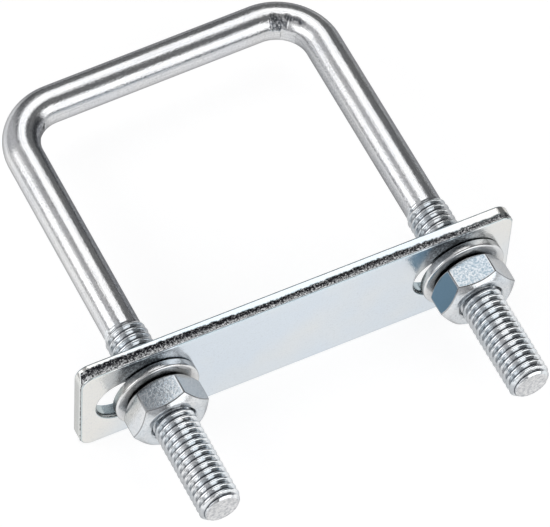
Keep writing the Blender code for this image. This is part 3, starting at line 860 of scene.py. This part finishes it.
def nut_surface(node, turn, flat_film_and_shade):
    """Hexagon nut as one closed surface: an outline from bore to bore, carried round the leg.

    The outer radius is the hexagon's, a high-power mean of its six flats' distances, which rounds the
    corners, and each flat is drawn in a little towards its corners and its ends. Columns crowd towards
    the corners. A cone from the face's circle cuts each corner down, so its edge with a flat is an arc.
    The bore is the stud's thread grown by the play, opened to a cone at both faces. The third argument says
    how much blue film each flat has, set flat by flat as painted dark reflection; the corners and edges have
    painted dark lines of shade.
    """
    low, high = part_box(node)
    x = (low.x + high.x) / 2
    middle, half = (low.y + high.y) / 2, (high.y - low.y) / 2
    share = np.arange(6 * FLAT_COLUMNS + 1) / FLAT_COLUMNS
    crowded = share - CORNER_CROWDING * np.sin(2 * pi * share) / (2 * pi)
    angle = pi / 2 - turn - crowded * pi / 3
    flats = pi / 2 - turn - (np.arange(6) + 0.5) * pi / 3
    facing = np.maximum(np.cos(angle[:, None] - flats), 0) ** NUT_CORNER_SHARPNESS
    nearest = np.argmax(facing, -1)
    hexagon = NUT_ACROSS_FLATS / 2 / facing.sum(-1) ** (1 / NUT_CORNER_SHARPNESS)
    off_middle = np.tan(angle - flats[nearest]) / tan(pi / 6)
    hexagon = hexagon - NUT_CROWN * off_middle ** 2
    drop = (hexagon - NUT_FACE_RADIUS) * tan(NUT_CHAMFER_ANGLE)

    ones = np.ones_like(hexagon)
    rows = [(NUT_SINK_RADIUS * ones, low.y * ones), (NUT_FACE_RADIUS * ones, low.y * ones)]
    rows += [(hexagon - NUT_BARREL * level ** 2, middle + level * (half - drop))
             for level in np.linspace(-1, 1, BARREL_ROWS)]
    rows += [(NUT_FACE_RADIUS * ones, high.y * ones), (NUT_SINK_RADIUS * ones, high.y * ones)]
    corners = np.stack([np.stack(row, -1) for row in rows])
    edge, plain = 2 * [NUT_EDGE_ROUND], (BARREL_ROWS - 2) * [UNROUNDED]
    outside = softened(corners, [UNROUNDED, *edge, *plain, *edge, UNROUNDED], NUT_ROUND_STEPS)

    # Painted dark lines of shade at the corners and edges, and painted dark reflection in the flats' film.
    at_corner = smooth_step(*SHADED_CORNER, np.abs(off_middle))
    on_flat = at_corner - np.array(flat_film_and_shade)[nearest] * (1 - at_corner)
    at_round = np.sin(np.linspace(0, pi, NUT_ROUND_STEPS))[:, None]
    face_rows = np.full((2 * NUT_ROUND_STEPS, len(angle)), -FACE_FILM)
    to_flat = np.linspace(-FACE_FILM + 0 * on_flat, on_flat, NUT_ROUND_STEPS)
    edge_rows = at_round + (1 - at_round) * to_flat
    flat_rows = np.tile(on_flat, (NUT_ROUND_STEPS * (BARREL_ROWS - 2), 1))
    bore_rows = np.full((BORE_ROWS + 1, len(angle)), -FACE_FILM)
    wear_and_shade = np.concatenate([face_rows, edge_rows, flat_rows, edge_rows[::-1], face_rows, bore_rows])

    y = np.linspace(high.y, low.y, BORE_ROWS)[:, None]
    thread = thread_height((y - stud_end) / THREAD_PITCH - angle / (2 * pi))
    bore = ROOT_RADIUS + THREAD_PLAY + (CREST_RADIUS - ROOT_RADIUS) * thread
    sink = NUT_SINK_RADIUS - np.minimum(y - low.y, high.y - y)
    inside = np.stack(np.broadcast_arrays(np.maximum(bore, sink), y), -1)
    profile = np.concatenate([outside, inside, outside[:1]])
    return *turned(x, profile[..., 0], profile[..., 1], angle[None, :]), 0, wear_and_shade


NUT_BLUISH = (0.75, 0.78, 0.81, 1)
NUT_PALE = (0.81, 0.81, 0.81, 1)
NUT_PITS = (0.40, 0.43, 0.46, 1)
# Blue film, set flat by flat so that it also paints dark reflections.
NUT_FILM_AND_SHADE = (0.18, 0.28, 0.36, 1)
# Painted shade along the nuts' corners and edges.
NUT_EDGE_SHADE = (0.16, 0.17, 0.18, 1)
NUT_GRAIN_DEPTH = 0.000016


def zinc_on_nut():
    """Zinc on a cold-formed nut: fine grain, an uneven blue film that also paints dark reflections, and
    painted dark lines of shade along the corners and edges.
    """
    material, tree, place = new_finish("nut_zinc", edge_tint=0.50)
    grain = noise(tree, place, scale=2300)
    patches = noise(tree, place, scale=2800)
    colour = drifting(tree, place, NUT_BLUISH, NUT_PALE, scale=170, spread=0.14)
    colour = pitted(tree, colour, NUT_PITS, grain, low=0.32, high=0.5, share=0.32)
    colour = worn_and_shaded(tree, colour, NUT_FILM_AND_SHADE, NUT_EDGE_SHADE, patches, spread=(1.0, 3.2))
    plated(tree, colour, grain, roughness=(0.12, 0.22), depth=NUT_GRAIN_DEPTH)
    return material


nut_finish = zinc_on_nut()
for side, nut_turn in NUT_TURNS.items():
    node = side + "_nut"
    nut = add_piece(side + "_hexagon_nut", [nut_surface(node, nut_turn, FLAT_FILM_AND_SHADE[side])], [nut_finish])
    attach(nut, node)
    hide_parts(node)


# Studio: a pale board that the clamp lies on, under three softboxes in a grey room that is paler on the
# left. The board is white to the eye near the clamp and keeps its shadow.
FLOOR_RADIUS = 0.9
FLOOR_RINGS = (0, 0.2, 1)
FLOOR_SPOKES = 64
FLOOR_COLOUR = (0.36, 0.36, 0.36, 1)
FLOOR_GLOW = 0.80
GLOW_MIDDLE = (0.0052, 0.0195)
GLOW_FADE_START, GLOW_FADE_END = 0.100, 0.400
ROOM_DARK = (0.15, 0.152, 0.155, 1)
ROOM_PALE = (0.48, 0.48, 0.49, 1)
ROOM_DARK_FROM, ROOM_PALE_FROM = -0.05, -0.30

# Softboxes: name, direction from the clamp, width and height, and radiance.
SOFTBOX_DISTANCE = 0.7
SOFTBOXES = (
    ("overhead_softbox", (0.194, 0.497, 0.846), (0.43, 0.52), 1.20),
    ("left_softbox", (-0.866, 0.122, 0.485), (0.76, 0.43), 1.20),
    ("front_softbox", (0.480, -0.769, 0.423), (0.80, 0.62), 1.40),
)


def pale_board():
    """Matt board that also glows evenly to the eye and in reflections, fading away from the clamp."""
    material = bpy.data.materials.new("pale_board")
    material.use_nodes = True
    tree = material.node_tree
    tree.nodes.clear()
    place = add_node(tree, "ShaderNodeTexCoord").outputs["Object"]
    middle = (*GLOW_MIDDLE, cad_box[0].z)
    away = add_node(tree, "ShaderNodeVectorMath", {0: place, 1: middle}, operation="DISTANCE")
    glow = between(tree, away.outputs["Value"], GLOW_FADE_START, GLOW_FADE_END, FLOOR_GLOW, 0)
    rays = add_node(tree, "ShaderNodeLightPath").outputs
    seen = reckoned(tree, "MAXIMUM", rays["Is Camera Ray"], rays["Is Glossy Ray"])
    seen = reckoned(tree, "MAXIMUM", seen, rays["Is Transmission Ray"])
    strength = reckoned(tree, "MULTIPLY", glow, seen)
    matt = add_node(tree, "ShaderNodeBsdfDiffuse", {"Color": FLOOR_COLOUR}).outputs[0]
    light = add_node(tree, "ShaderNodeEmission", {"Strength": strength}).outputs[0]
    both = add_node(tree, "ShaderNodeAddShader", {0: matt, 1: light}).outputs[0]
    add_node(tree, "ShaderNodeOutputMaterial", {"Surface": both})
    return material


spoke = np.linspace(0, 2 * pi, FLOOR_SPOKES + 1)
ring = FLOOR_RADIUS * np.array(FLOOR_RINGS)[:, None]
disc = np.stack(np.broadcast_arrays(ring * np.cos(spoke), ring * np.sin(spoke), cad_box[0].z), -1)
floor = add_piece("board", [(disc, disc[..., :2], 0, 0)], [pale_board()])

room = bpy.data.worlds.new("grey_room")
room.use_nodes = True
bpy.context.scene.world = room
room_tree = room.node_tree
direction = add_node(room_tree, "ShaderNodeTexCoord").outputs["Generated"]
sideways = add_node(room_tree, "ShaderNodeSeparateXYZ", {0: direction}).outputs["X"]
leftward = between(room_tree, sideways, ROOM_DARK_FROM, ROOM_PALE_FROM, 0, 1)
shade = mixed(room_tree, leftward, ROOM_DARK, ROOM_PALE)
room_tree.links.new(shade, room_tree.nodes["Background"].inputs["Color"])

for name, heading, (width, height), radiance in SOFTBOXES:
    lamp = bpy.data.lights.new(name, "AREA")
    lamp.shape = "RECTANGLE"
    lamp.size, lamp.size_y = width, height
    lamp.energy = pi * width * height * radiance
    softbox = bpy.data.objects.new(name, lamp)
    softbox.location = SOFTBOX_DISTANCE * Vector(heading).normalized()
    softbox.rotation_euler = Vector(heading).to_track_quat("Z", "Y").to_euler()
    bpy.context.scene.collection.objects.link(softbox)


# Camera: looks down on the clamp from the nuts' end, a little from the left and slightly tilted, through
# a long lens that takes in the whole clamp as the photograph does.
CAMERA_AZIMUTH = radians(-29.866)
CAMERA_ELEVATION = radians(55.916)
CAMERA_ROLL = radians(4.344)
CAMERA_DISTANCE = 0.8234
CAMERA_TARGET = Vector((-0.00142, 0.00795, 0.00596))
CAMERA_LENS = 307.3
CAMERA_NEAREST = 0.01

camera = bpy.data.cameras.new("photo_camera")
camera.sensor_fit = "HORIZONTAL"
camera.lens = CAMERA_LENS
camera.clip_start = CAMERA_NEAREST
viewer = bpy.data.objects.new("photo_camera", camera)
aim = (Matrix.Rotation(CAMERA_AZIMUTH, 3, "Z") @ Matrix.Rotation(pi / 2 - CAMERA_ELEVATION, 3, "X")
       @ Matrix.Rotation(CAMERA_ROLL, 3, "Z"))
viewer.rotation_euler = aim.to_euler()
viewer.location = CAMERA_TARGET + CAMERA_DISTANCE * aim.col[2]
bpy.context.scene.collection.objects.link(viewer)
bpy.context.scene.camera = viewer
bpy.context.scene.view_settings.view_transform = "Standard"
